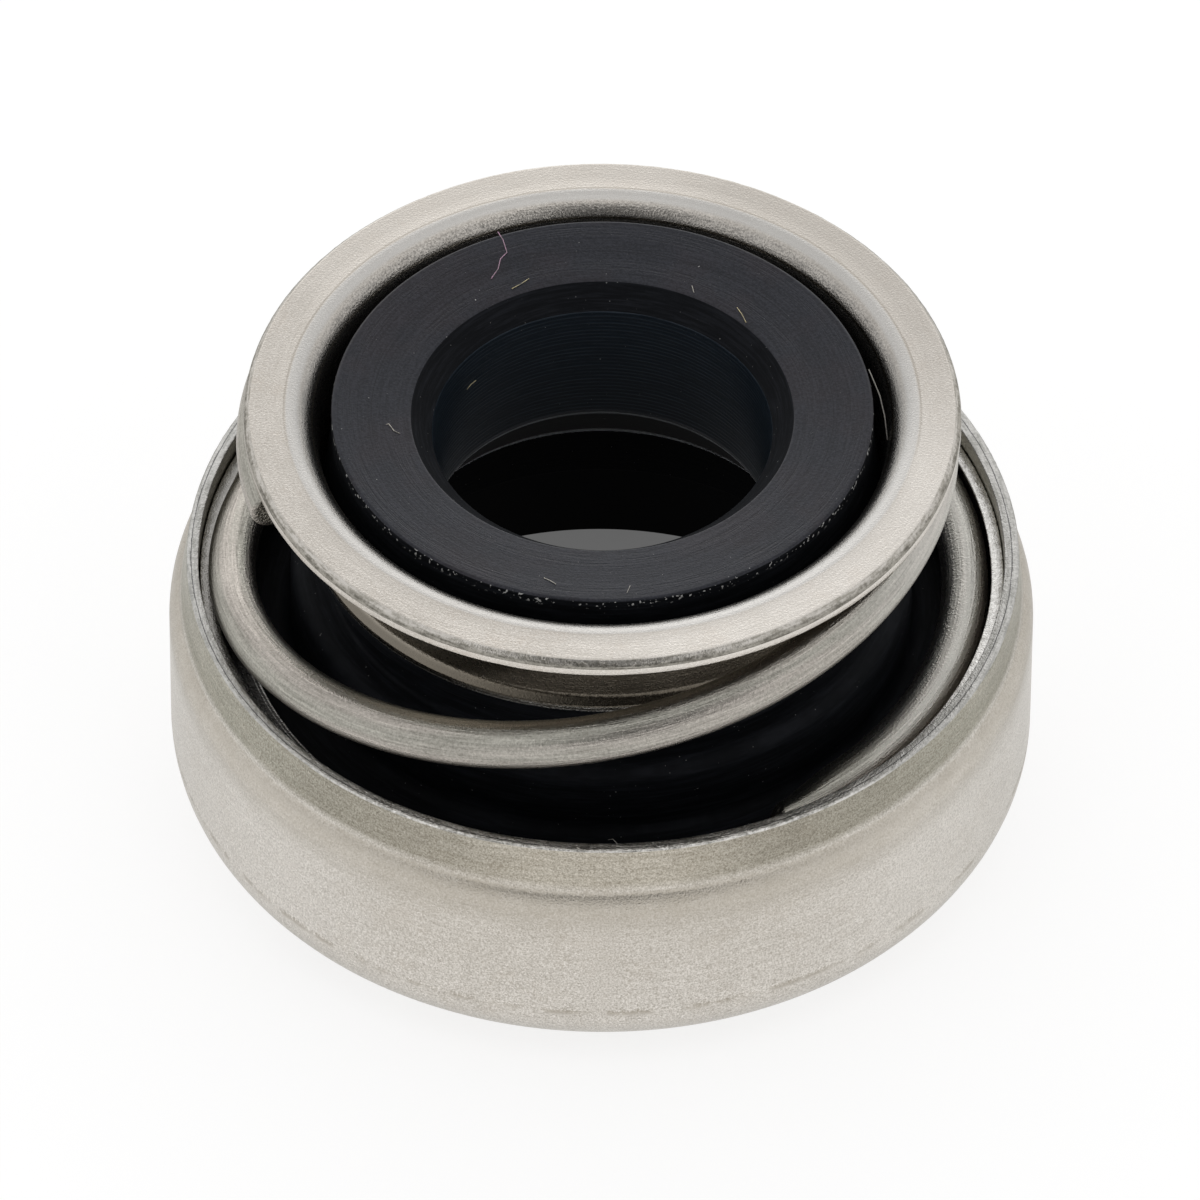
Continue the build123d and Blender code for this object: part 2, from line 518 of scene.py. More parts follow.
sealing_ring = turned(
    "carbon_sealing_ring",
    [
        (face_in_r, 0.0, 0.06),
        (face_out_r, 0.0, 0.15),
        (face_out_r, nose_h, 0.0),
        (17.0, nose_h, 0.05),
        (ring_body_r, ring_body_low_z, 0.1),
        (ring_body_r, ring_top_z, 0.05),
        (face_in_r, ring_top_z, 0.15),
    ],
    around=384,
)

rubber = turned(
    "moulded_rubber_bellows",
    [
        # skirt round the carbon ring and the flange under the seat
        (cavity_r, ring_top_z, 0.05),
        (skirt_in_r, ring_top_z, 0.05),
        (skirt_in_r, skirt_low_z, 0.05),
        (18.8, skirt_low_z, 0.1),
        (front_r, 4.2, 0.2),
        (front_r, front_top_z, 0.0),
        # barrel and its step down to the waist
        (barrel_r, front_top_z, 0.6),
        (barrel_r, 13.35, 0.85),
        (12.65, 13.4, 0.2),
        (12.55, 15.2, 0.5),
        # collar under the holder, and the tail that the holder grips
        (collar_r, 15.8, 0.1),
        (collar_r, collar_top_z, 0.05),
        (gripped_r, collar_top_z, 0.05),
        (gripped_r, 17.81, 0.1),
        (tail_r, 21.0, 0.0),
        (tail_r, tail_top_z, 0.15),
        # dished face, lead-in and shaft bore
        (8.79, 22.18, 0.06),
        (bore_r, 21.17, 0.08),
        (bore_r, 14.66, 0.25),
        # cone, undercut lip and cavity
        (9.92, 11.3, 0.12),
        (10.4, 12.0, 0.3),
        (11.7, 12.0, 0.4),
        (cavity_r, 10.7, 0.2),
    ],
    around=512,
)

# The turned face, the chamfer and the bore have one finish, and the rest another.
worked_in_r = 12.4
worked_low_z = 14.7
lead_in_low_z, lead_in_top_z = 21.2, 22.15

for polygon in rubber.data.polygons:
    x, y, z = (c / MM for c in polygon.center)
    lead_in = lead_in_low_z < z < lead_in_top_z
    worked = z > worked_low_z and math.hypot(x, y) < worked_in_r and not lead_in
    polygon.material_index = 0 if worked else 1

spring = coiled_wire("coiled_spring_wire")


def lint(name, fibres):
    """Thin fibres that lie on the surfaces. Each has its tint, radius and points, in mm."""
    bm = bmesh.new()
    tint_layer = bm.verts.layers.float_color.new("lint_tint")
    for tint, radius, points in fibres:
        path = [Vector(point) * MM for point in points]
        here = None
        first = len(bm.verts)
        for k, place in enumerate(path):
            ahead = path[min(k + 1, len(path) - 1)] - path[max(k - 1, 0)]
            turn = ahead.to_track_quat("Z", "Y").to_matrix().to_4x4()
            there = Matrix.Translation(place) @ turn
            if here is None:
                made = bmesh.ops.create_circle(
                    bm, cap_ends=True, radius=radius * MM, segments=6, matrix=there
                )
                caps = made["verts"][0].link_faces
                edges = [edge for cap in caps for edge in cap.edges]
            else:
                _, edges = swept_on(bm, edges, here, there)
            here = there
        cap_open_ends(bm)
        bm.verts.ensure_lookup_table()
        for vert in bm.verts[first:]:
            vert[tint_layer] = tint
    return finished_piece(name, bm)


pale = (0.55, 0.52, 0.46, 1.0)
pink = (0.50, 0.30, 0.42, 1.0)
straw = (0.60, 0.52, 0.30, 1.0)
grey = (0.25, 0.24, 0.21, 1.0)
face_lint = lint(
    "lint_on_rubber_face",
    [
        (
            pink,
            0.022,
            [
                (-4.88, 11.62, 22.56),
                (-4.64, 11.11, 22.54),
                (-4.45, 10.34, 22.48),
                (-4.75, 9.95, 22.43),
                (-4.85, 9.35, 22.38),
                (-5.17, 8.73, 22.34),
            ],
        ),
        (straw, 0.02, [(-4.20, 8.18, 22.25), (-3.83, 8.44, 22.27), (-3.42, 8.82, 22.28)]),
        (pale, 0.018, [(4.10, 8.42, 22.27), (4.19, 8.00, 22.24)]),
        (straw, 0.02, [(6.18, 6.99, 22.27), (6.41, 6.55, 22.25), (6.59, 6.05, 22.23)]),
        (
            pale,
            0.02,
            [
                (-9.90, -0.87, 22.32),
                (-9.78, -0.80, 22.31),
                (-9.67, -0.98, 22.30),
                (-9.53, -1.23, 22.29),
                (-9.25, -1.39, 22.26),
            ],
        ),
        (pale, 0.02, [(-2.61, -10.83, 22.45), (-2.33, -11.03, 22.48), (-2.06, -11.28, 22.50)]),
        (pale, 0.016, [(1.16, -11.84, 22.53), (1.30, -11.34, 22.48)]),
        (straw, 0.02, [(-6.25, 4.61, 19.22), (-6.05, 4.87, 19.32), (-5.84, 5.11, 19.31)]),
        (
            grey,
            0.03,
            [
                (12.22, 2.72, 22.50),
                (12.45, 2.05, 22.40),
                (12.72, 1.30, 22.20),
                (12.94, 0.30, 21.85),
                (13.06, -0.85, 21.50),
            ],
        ),
    ],
)
cup_lint = lint(
    "lint_in_the_cup",
    [
        (grey, 0.014, [(0.36, -18.00, 12.78), (0.58, -18.25, 13.10), (0.80, -18.68, 13.22)]),
        (pale, 0.03, [(-1.06, -18.88, 13.19), (-0.97, -18.95, 13.20), (-0.90, -18.98, 13.17)]),
        (straw, 0.02, [(12.05, -8.35, 9.64), (12.30, -8.00, 9.64)]),
    ],
)

# ------------------------------------------------------------ how the pieces move
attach(shell, "head")
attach(spring_seat, "head")
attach(sealing_ring, "head")
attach(spring_holder, "holder")
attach(face_lint, "holder")
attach(cup_lint, "head")
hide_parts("shell")
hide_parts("spring_seat")
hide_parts("primary_ring")
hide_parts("spring_holder")
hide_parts("bellows", "bellows_tail")
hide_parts("spring")
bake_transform(rubber)
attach(spring, "head")
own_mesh(spring)


# -------------------------------------------------------------------- materials
class Graph:
    """Adds nodes to a tree a line at a time. Colours may be given without their alpha."""

    def __init__(self, tree):
        self.tree = tree

    def feed(self, socket, value):
        if isinstance(value, bpy.types.NodeSocket):
            self.tree.links.new(value, socket)
        elif socket.type == "RGBA" and len(value) == 3:
            socket.default_value = (*value, 1.0)
        else:
            socket.default_value = value

    def settle(self, node, inputs):
        for name, value in inputs.items():
            self.feed(node.inputs[name], value)

    def add(self, kind, inputs=None, **settings):
        made = self.tree.nodes.new(kind)
        for name, value in settings.items():
            setattr(made, name, value)
        self.settle(made, inputs or {})
        return made

    def math(self, operation, *values, clamp=False):
        made = self.add("ShaderNodeMath", operation=operation, use_clamp=clamp)
        for socket, value in zip(made.inputs, values):
            self.feed(socket, value)
        return made.outputs[0]

    def times(self, first, *others):
        for other in others:
            first = self.math("MULTIPLY", first, other)
        return first

    def plus(self, first, second, clamp=False):
        return self.math("ADD", first, second, clamp=clamp)

    def inverse(self, value):
        return self.math("SUBTRACT", 1.0, value)

    def swing(self, value, amount):
        """A noise between zero and one made to swing about zero."""
        return self.times(self.math("SUBTRACT", value, 0.5), amount)

    def vector(self, operation, *values):
        made = self.add("ShaderNodeVectorMath", operation=operation)
        for socket, value in zip(made.inputs, values):
            self.feed(socket, value)
        return made.outputs[0]

    def scaled(self, vector, factor):
        return self.add(
            "ShaderNodeVectorMath", {0: vector, "Scale": factor}, operation="SCALE"
        ).outputs[0]

    def measure(self, operation, *values):
        """A vector operation that gives one number."""
        made = self.add("ShaderNodeVectorMath", operation=operation)
        for socket, value in zip(made.inputs, values):
            self.feed(socket, value)
        return made.outputs["Value"]

    def combine(self, x, y, z):
        return self.add("ShaderNodeCombineXYZ", {"X": x, "Y": y, "Z": z}).outputs[0]

    def split(self, vector):
        return self.add("ShaderNodeSeparateXYZ", {0: vector}).outputs

    def attribute(self, name):
        return self.add("ShaderNodeAttribute", attribute_name=name).outputs

    def span(self, value, low, high, out_low=0.0, out_high=1.0):
        """Eases from one number to another while the value crosses a range."""
        made = self.add(
            "ShaderNodeMapRange",
            {"From Min": low, "From Max": high, "To Min": out_low, "To Max": out_high},
            interpolation_type="SMOOTHSTEP",
        )
        self.feed(made.inputs["Value"], value)
        return made.outputs["Result"]

    def fade(self, value, low, high, amount=1.0):
        """The given amount below a range, nothing above it."""
        return self.span(value, low, high, amount, 0.0)

    def rise(self, value, low, high, amount=1.0):
        """Nothing below a range, the given amount above it."""
        return self.span(value, low, high, 0.0, amount)

    def band(self, value, low, high, soft):
        """One between two limits, with soft ends."""
        return self.times(
            self.rise(value, low - soft, low + soft),
            self.fade(value, high - soft, high + soft),
        )

    def mix(self, share, first, second):
        made = self.add("ShaderNodeMix", {0: share, 6: first, 7: second}, data_type="RGBA")
        return made.outputs[2]

    def multiplied(self, share, first, second):
        made = self.add("ShaderNodeMix", data_type="RGBA", blend_type="MULTIPLY")
        self.settle(made, {0: share, 6: first, 7: second})
        return made.outputs[2]

    def noise(self, vector, scale, detail=2.0, roughness=0.5):
        return self.add(
            "ShaderNodeTexNoise",
            {"Vector": vector, "Scale": scale, "Detail": detail, "Roughness": roughness},
        ).outputs["Fac"]

    def ring_place(self, direction, stretch, across, pitch):
        """Noise coordinates for lines that run round the axis."""
        lifted = self.combine(0.0, 0.0, self.times(across, pitch))
        return self.vector("ADD", self.scaled(direction, stretch), lifted)

    def bump(self, surface, height, depth):
        bump = self.add(
            "ShaderNodeBump", {"Strength": 1.0, "Distance": depth, "Height": height}
        )
        self.feed(surface.inputs["Normal"], bump.outputs["Normal"])


def effect(name, inputs, outputs):
    """An empty node group with named sockets, and its in and out nodes."""
    tree = bpy.data.node_groups.new(name, "ShaderNodeTree")
    for label, kind, value in inputs:
        socket = tree.interface.new_socket(label, in_out="INPUT", socket_type=kind)
        if value is not None:
            socket.default_value = value
    for label, kind in outputs:
        tree.interface.new_socket(label, in_out="OUTPUT", socket_type=kind)
    graph = Graph(tree)
    return graph, graph.add("NodeGroupInput").outputs, graph.add("NodeGroupOutput")


VALUE, VECTOR, COLOUR = "NodeSocketFloat", "NodeSocketVector", "NodeSocketColor"


def around_the_axis():
    """Radius, height and direction of a point, in millimetres, from its place."""
    g, given, out = effect(
        "around_the_axis",
        [("Place", VECTOR, None)],
        [("Millimetres", VECTOR), ("Direction", VECTOR), ("Radius", VALUE), ("Height", VALUE)],
    )
    mm = g.scaled(given["Place"], 1000.0)
    flat = g.vector("MULTIPLY", mm, (1.0, 1.0, 0.0))
    g.settle(
        out,
        {
            "Millimetres": mm,
            "Direction": g.vector("NORMALIZE", flat),
            "Radius": g.measure("LENGTH", flat),
            "Height": g.split(mm)["Z"],
        },
    )
    return g.tree


def worked_metal():
    """Sheet steel: rings left by the tools, scaly grain, cloudy patches and stains."""
    g, given, out = effect(
        "worked_metal",
        [
            ("Millimetres", VECTOR, None),
            ("Direction", VECTOR, None),
            ("Across", VALUE, 0.0),
            ("Light", COLOUR, None),
            ("Dark", COLOUR, None),
            ("Stain", COLOUR, None),
            ("Rings", VALUE, 0.3),
            ("Grain", VALUE, 0.3),
            ("Clouds", VALUE, 0.3),
            ("Stained", VALUE, 0.5),
        ],
        [("Colour", COLOUR), ("Shift", VALUE), ("Height", VALUE)],
    )
    mm = given["Millimetres"]
    place = g.ring_place(given["Direction"], 5.0, given["Across"], 5.0)
    rings = g.noise(place, 1.6, 4.0, 0.62)
    grain = g.noise(mm, 10.5, 1.5, 0.8)
    clouds = g.noise(mm, 0.4, 3.0, 0.6)
    stains = g.noise(g.vector("ADD", mm, (31.0, 17.0, 5.0)), 0.45, 6.0, 0.7)
    fine = g.plus(g.swing(rings, given["Rings"]), g.swing(grain, given["Grain"]))
    tone = g.plus(fine, g.swing(clouds, given["Clouds"]))
    colour = g.mix(g.plus(tone, 0.5, clamp=True), given["Dark"], given["Light"])
    spotted = g.plus(stains, g.swing(grain, -0.35))
    mask = g.times(g.rise(spotted, 0.5, 0.68), given["Stained"])
    g.settle(
        out,
        {"Colour": g.mix(mask, colour, given["Stain"]), "Shift": tone, "Height": fine},
    )
    return g.tree


def torn_edge():
    """Sheared metal: fine broken lines that run round the axis, dark and bright."""
    g, given, out = effect(
        "torn_edge",
        [
            ("Millimetres", VECTOR, None),
            ("Direction", VECTOR, None),
            ("Across", VALUE, 0.0),
            ("Line Length", VALUE, 1.0),
        ],
        [("Tone", VALUE), ("Height", VALUE)],
    )
    stretch = g.math("DIVIDE", 17.0, given["Line Length"])
    place = g.ring_place(given["Direction"], stretch, given["Across"], 6.0)
    lines = g.noise(place, 1.0, 3.0, 0.6)
    crumbs = g.noise(given["Millimetres"], 5.0, 2.0, 0.75)
    rough = g.plus(g.times(lines, 0.6), g.times(crumbs, 0.4))
    g.settle(out, {"Tone": g.rise(rough, 0.38, 0.6), "Height": rough})
    return g.tree


AXIS = around_the_axis()
METAL = worked_metal()
TORN = torn_edge()


def new_finish(name):
    """A material with its graph, its surface shader and its coordinates."""
    material = bpy.data.materials.new(name)
    material.use_nodes = True
    material.node_tree.nodes.clear()
    g = Graph(material.node_tree)
    surface = g.add("ShaderNodeBsdfPrincipled")
    g.add("ShaderNodeOutputMaterial", {0: surface.outputs[0]})
    place = g.add("ShaderNodeTexCoord").outputs["Object"]
    axis = g.add("ShaderNodeGroup", {"Place": place}, node_tree=AXIS)
    return material, g, surface, axis.outputs


grain_depth = 1.6e-5        # metres of bump for one unit of grain
rubber_depth = 2e-5
steel_tint = (0.84, 0.83, 0.81)
cup_tint = (0.76, 0.76, 0.75)
dust_shift = (7.0, 3.0, 11.0)
dust_colour = (0.45, 0.45, 0.44)


def dress_metal(g, axis, colours, amounts, roughness):
    """Sheet steel over the whole piece. Gives colour, roughness and height to work on."""
    light, dark, stain = colours
    rings, grain, clouds, stained = amounts
    metal = g.add(
        "ShaderNodeGroup",
        {
            "Millimetres": axis["Millimetres"],
            "Direction": axis["Direction"],
            "Across": g.plus(axis["Radius"], axis["Height"]),
            "Light": light,
            "Dark": dark,
            "Stain": stain,
            "Rings": rings,
            "Grain": grain,
            "Clouds": clouds,
            "Stained": stained,
        },
        node_tree=METAL,
    ).outputs
    rough = g.plus(g.times(metal["Shift"], -0.06), roughness)
    return metal["Colour"], rough, metal["Height"]


def finish_metal(g, surface, colour, rough, height, tint=steel_tint):
    g.settle(
        surface,
        {"Base Color": colour, "Metallic": 1.0, "Roughness": rough, "Specular Tint": tint},
    )
    g.bump(surface, height, grain_depth)


def finish_rubber(g, surface, colour, roughness, level, tint, height):
    g.settle(
        surface,
        {
            "Base Color": colour,
            "Roughness": roughness,
            "Specular IOR Level": level,
            "Specular Tint": tint,
        },
    )
    g.bump(surface, height, rubber_depth)


def torn_part(g, axis, across, length):
    """Tone and height of sheared metal, with broken lines of about a given length."""
    broken = g.add(
        "ShaderNodeGroup",
        {
            "Millimetres": axis["Millimetres"],
            "Direction": axis["Direction"],
            "Across": across,
            "Line Length": length,
        },
        node_tree=TORN,
    ).outputs
    return broken["Tone"], broken["Height"]


# In the finishes below, limits on radius and height are in mm, sides are told by the
# direction from the axis (X to the right, Y to the back), and shares run from 0 to 1.

# ----- the cup
mouth_low_z, mouth_full_z = 10.65, 11.4     # where the mouth's own tone sets in
under_mouth_z = 10.3                        # the wall is darkest from here to the crease


def cup_mouth_tone(g, axis, aside, flank):
    """The necked mouth: streaks round it, hatching on the right, painted shade on the quarters
    between front and flanks, and a greener painted reflection on the flanks.
    """
    z = axis["Height"]
    facing = g.split(axis["Direction"])
    streaks = g.noise(g.ring_place(axis["Direction"], 5.0, z, 6.0), 1.2, 4.0, 0.7)
    streaks = g.rise(streaks, 0.3, 0.7)
    along = g.times(g.math("ARCTAN2", facing["Y"], facing["X"]), cup_r)
    uphill = g.plus(g.times(along, 0.45), g.times(z, 0.5))
    across = g.math("SUBTRACT", g.times(z, 3.2), g.times(along, 2.6))
    hatching = g.noise(g.combine(uphill, across, 0.0), 1.0, 3.0, 0.7)
    hatched = g.times(g.rise(facing["X"], 0.1, 0.5), g.rise(hatching, 0.42, 0.6), 0.45)
    # painted shade on the quarters between the front and the flanks
    painted_shade_quarter = g.times(g.rise(aside, 0.12, 0.42), g.fade(aside, 0.6, 0.9), 0.5)
    tone = g.mix(streaks, (0.67, 0.65, 0.59), (0.82, 0.805, 0.755))
    tone = g.mix(hatched, tone, (0.52, 0.50, 0.45))
    # a greener, darker tone on the flanks: painted reflection
    flank_reflection_tone = g.mix(streaks, (0.56, 0.575, 0.52), (0.72, 0.72, 0.67))
    tone = g.mix(flank, tone, flank_reflection_tone)
    return g.mix(painted_shade_quarter, tone, (0.38, 0.375, 0.33))


def cup_wall_tone(g, axis, colour, height, mouth, flank):
    """The wall: painted shade up its front, painted light at its foot and on its flanks,
    patchy painted shade below the mouth, and painted shade in the creases at the shoulder and
    the foot.
    """
    z = axis["Height"]
    below = g.inverse(mouth)
    # painted shade, growing up the front of the wall
    front_shade = g.times(g.inverse(flank), below, g.rise(z, 1.5, 9.5, 0.26))
    colour = g.mix(front_shade, colour, (0.50, 0.455, 0.385))
    # painted light at the foot and on the flanks
    lighter = g.math("MAXIMUM", g.fade(z, 0.5, 3.6, 0.35), g.times(flank, below, 0.22))
    colour = g.mix(lighter, colour, (0.97, 0.94, 0.90))
    shade_patches = g.noise(axis["Millimetres"], 0.7, 5.0, 0.7)
    shadowed = g.times(g.rise(z, 8.0, under_mouth_z), g.fade(z, 10.75, 10.95))
    # painted shade under the mouth, broken into patches
    under_mouth_shade = g.times(g.span(shade_patches, 0.35, 0.62, 0.75, 1.0), shadowed, 0.58)
    colour = g.mix(under_mouth_shade, colour, (0.42, 0.38, 0.315))
    ragged = g.plus(z, g.times(height, 0.25))
    # painted shade along the crease under the mouth
    shoulder_crease_shade = g.times(g.band(ragged, 10.42, 10.74, 0.25), 0.16)
    colour = g.mix(shoulder_crease_shade, colour, (0.28, 0.25, 0.20))
    # painted shade in the crease at the foot, broken into patches
    foot_crease_shade = g.times(g.band(ragged, 3.32, 3.58, 0.12), g.rise(shade_patches, 0.42, 0.6), 0.55)
    return g.mix(foot_crease_shade, colour, (0.30, 0.26, 0.20))


def cup_edge_tone(g, axis, tone, torn, flank):
    """The sheared rim: broken lines, painted shade on the flanks, bright crumbs as painted
    glints in front, a dark line outside.
    """
    edge = g.mix(tone, (0.32, 0.31, 0.285), (0.82, 0.80, 0.76))
    # painted shade on the flanks
    edge = g.mix(flank, edge, g.mix(tone, (0.36, 0.355, 0.335), (0.56, 0.55, 0.53)))
    # bright crumbs, faded out on the flanks: painted glints
    crumbs = g.rise(g.noise(axis["Millimetres"], 4.0, 2.0), 0.58, 0.64)
    crumbs = g.times(crumbs, g.fade(flank, 0.0, 1.0, 0.6))
    edge = g.mix(crumbs, edge, (0.95, 0.93, 0.9))
    ragged = g.plus(axis["Radius"], g.times(torn, 0.14))
    outer = g.times(g.band(ragged, 19.0, 19.04, 0.02), 0.9)
    return g.mix(outer, edge, (0.04, 0.04, 0.045))


def cup_finish():
    """Drawn and necked steel, scaly all over, with a torn rim."""
    material, g, surface, axis = new_finish("pressed_steel_cup")
    colour, rough, height = dress_metal(
        g,
        axis,
        ((0.84, 0.80, 0.745), (0.40, 0.368, 0.322), (0.53, 0.475, 0.405)),
        (0.6, 2.45, 0.22, 0.24),
        0.3,
    )
    z = axis["Height"]
    mouth = g.rise(z, mouth_low_z, mouth_full_z)
    aside = g.math("ABSOLUTE", g.split(axis["Direction"])["X"])
    flank = g.rise(aside, 0.35, 0.85)
    colour = g.multiplied(mouth, colour, cup_mouth_tone(g, axis, aside, flank))
    colour = cup_wall_tone(g, axis, colour, height, mouth, flank)
    tone, torn = torn_part(g, axis, axis["Radius"], 1.4)
    rim = g.rise(z, cup_rim_z - 0.09, cup_rim_z - 0.04)
    colour = g.mix(rim, colour, cup_edge_tone(g, axis, tone, torn, flank))
    finish_metal(g, surface, colour, rough, g.plus(height, g.times(rim, torn)), cup_tint)
    return material


# ----- the seat
def seat_finish():
    """Dull steel with a bright sheared edge, darkened on the left by painted shade, and a
    ledge in painted shade with painted highlight lines at its inner edge.
    """
    material, g, surface, axis = new_finish("pressed_steel_seat")
    r, z = axis["Radius"], axis["Height"]
    colour, rough, height = dress_metal(
        g,
        axis,
        ((0.70, 0.67, 0.63), (0.36, 0.335, 0.295), (0.40, 0.36, 0.29)),
        (0.6, 1.4, 0.4, 0.3),
        0.28,
    )
    tone, _ = torn_part(g, axis, r, 0.25)
    rim = g.rise(z, seat_top_z - 0.06, seat_top_z - 0.02)
    # painted shade of the wire on the left part of the edge
    left_edge_shade = g.fade(g.split(axis["Direction"])["X"], -0.5, 0.2, 0.8)
    edge = g.mix(tone, (0.62, 0.605, 0.58), (0.88, 0.865, 0.84))
    edge = g.mix(left_edge_shade, edge, (0.26, 0.25, 0.235))
    colour = g.mix(rim, colour, edge)
    ledge = g.fade(z, 10.3, 10.7)
    # painted highlights along the ledge's inner edge
    lines = g.band(r, 16.62, 16.68, 0.02)
    lines = g.plus(lines, g.band(r, 16.80, 16.83, 0.02), clamp=True)
    # painted shade over the ledge
    ledge_shade = g.mix(lines, (0.09, 0.088, 0.085), (0.55, 0.54, 0.52))
    colour = g.mix(ledge, colour, ledge_shade)
    finish_metal(g, surface, colour, rough, height)
    return material


# ----- the holder
def flange_tone(g, axis, colour, height, facing):
    """The flange's flat ring and its roll: painted light and shade by side, and painted shade
    on the roll, at its brink, along a crease and on its front.
    """
    r, z = axis["Radius"], axis["Height"]
    right, back = facing["X"], facing["Y"]
    top = g.rise(z, 22.4, 22.5)
    # painted shade on the flanks
    flank = g.times(g.rise(g.math("ABSOLUTE", right), 0.3, 0.9), 0.24)
    colour = g.mix(flank, colour, (0.42, 0.395, 0.365))
    # painted shade on the back right
    far_right = g.rise(g.plus(right, back), 0.5, 1.4, 0.35)
    colour = g.mix(far_right, colour, (0.45, 0.42, 0.385))
    # painted light on the front right
    near_right = g.rise(g.math("SUBTRACT", right, back), 0.7, 1.3, 0.3)
    colour = g.mix(near_right, colour, (0.95, 0.91, 0.86))
    # painted light and shade that even out the back, darker to the right
    back_shading_tone = g.mix(g.rise(right, 0.1, 0.5), (0.64, 0.60, 0.55), (0.52, 0.485, 0.44))
    back_shading = g.times(top, g.rise(back, 0.2, 0.8), 0.6)
    colour = g.mix(back_shading, colour, back_shading_tone)
    wobble = g.plus(r, g.times(height, 0.1))
    # painted shade on the roll
    roll_shade = g.times(top, g.fade(wobble, 14.45, 14.6), 0.55)
    colour = g.mix(roll_shade, colour, (0.55, 0.55, 0.545))
    # painted shade at the roll's inner brink, pitted
    brink = g.times(g.fade(r, 13.55, 14.1), g.rise(z, 21.6, 22.0))
    pitted_brink_shade = g.times(brink, g.span(height, -0.5, 0.3, 1.0, 0.25), 0.9)
    colour = g.mix(pitted_brink_shade, colour, (0.10, 0.10, 0.10))
    # painted shade along the crease, stronger at the back
    crease = g.times(g.band(wobble, 14.55, 14.64, 0.05), top)
    crease = g.times(crease, g.span(back, -0.4, 0.2, 0.12, 0.6))
    colour = g.mix(crease, colour, (0.30, 0.27, 0.23))
    # painted shade on the front of the roll
    front_roll_shade = g.times(g.fade(r, 13.7, 14.5, 0.55), g.fade(back, -0.1, 0.5))
    return g.mix(front_roll_shade, colour, (0.22, 0.22, 0.215))


def flange_edge_tone(g, z, tone, torn):
    """The flange's upright side: dark crumbs where it broke, lighter above."""
    low = g.rise(g.plus(z, g.times(torn, 0.16)), 22.42, 22.56)
    crumbs = g.mix(tone, (0.15, 0.14, 0.12), (0.36, 0.34, 0.30))
    return g.mix(low, crumbs, g.mix(tone, (0.34, 0.32, 0.28), (0.60, 0.57, 0.53)))


def neck_tone(g, axis, height, facing):
    """The outside of the neck: patchy, darkened all over by painted shade under the flange,
    with painted light on the left and painted shade towards the right and at its foot.
    """
    right = facing["X"]
    patches = g.noise(g.scaled(axis["Direction"], 5.0), 1.0, 3.0, 0.6)
    patchy = g.rise(g.plus(height, g.swing(patches, 0.9)), -0.8, 0.8)
    # painted shade: the neck is kept darker than the flange above it
    dull = g.mix(patchy, (0.09, 0.078, 0.06), (0.34, 0.295, 0.235))
    # painted light on the left
    dull = g.mix(g.fade(right, -0.75, -0.25, 0.5), dull, (0.75, 0.69, 0.60))
    # painted shade towards the right
    dull = g.mix(g.rise(right, -0.3, 0.1, 0.45), dull, (0.05, 0.042, 0.032))
    # painted shade at the foot, over the lip's top
    return g.mix(g.fade(axis["Height"], 17.35, 17.75, 0.75), dull, (0.10, 0.088, 0.07))


def lip_tone(g, z, tone):
    """The neck's low lip: drawn rings, darkened by painted shade, above a painted highlight
    along the lower edge.
    """
    rings = g.rise(g.math("SINE", g.times(z, 62.0)), -0.5, 0.6)
    rings = g.mix(g.times(rings, tone), (0.13, 0.12, 0.10), (0.85, 0.83, 0.79))
    # painted shade over the rings above the lower edge
    rings = g.mix(g.rise(z, 16.9, 16.96, 0.55), rings, (0.10, 0.09, 0.075))
    # painted highlight along the lower edge
    return g.mix(g.fade(z, 16.9, 16.96, 0.7), rings, (0.97, 0.95, 0.91))


def holder_finish():
    """Drawn steel: a smooth flange with a broken edge, and a neck below it darkened by painted
    shade.
    """
    material, g, surface, axis = new_finish("pressed_steel_holder")
    r, z = axis["Radius"], axis["Height"]
    colour, rough, height = dress_metal(
        g,
        axis,
        ((0.83, 0.785, 0.73), (0.43, 0.395, 0.345), (0.56, 0.49, 0.42)),
        (0.6, 1.3, 0.4, 0.35),
        0.28,
    )
    facing = g.split(axis["Direction"])
    colour = flange_tone(g, axis, colour, height, facing)
    tone, torn = torn_part(g, axis, g.times(z, 1.6), 1.2)
    side = g.times(g.rise(r, 16.14, 16.2), g.band(z, 22.22, 22.585, 0.015))
    colour = g.mix(side, colour, flange_edge_tone(g, z, tone, torn))
    # Outside of the neck: a steep line in radius and height parts it from the bore.
    steep = g.plus(z, g.times(r, 19.0))
    outside = g.times(g.fade(r, 13.8, 14.4), g.rise(steep, 273.5, 274.5))
    lip = g.fade(z, 17.08, 17.14)
    neck = g.times(outside, g.fade(z, 21.9, 22.0), g.inverse(lip))
    colour = g.mix(neck, colour, neck_tone(g, axis, height, facing))
    colour = g.mix(g.times(outside, lip), colour, lip_tone(g, z, tone))
    height = g.plus(height, g.times(side, torn, 2.0))
    finish_metal(g, surface, colour, rough, height)
    return material


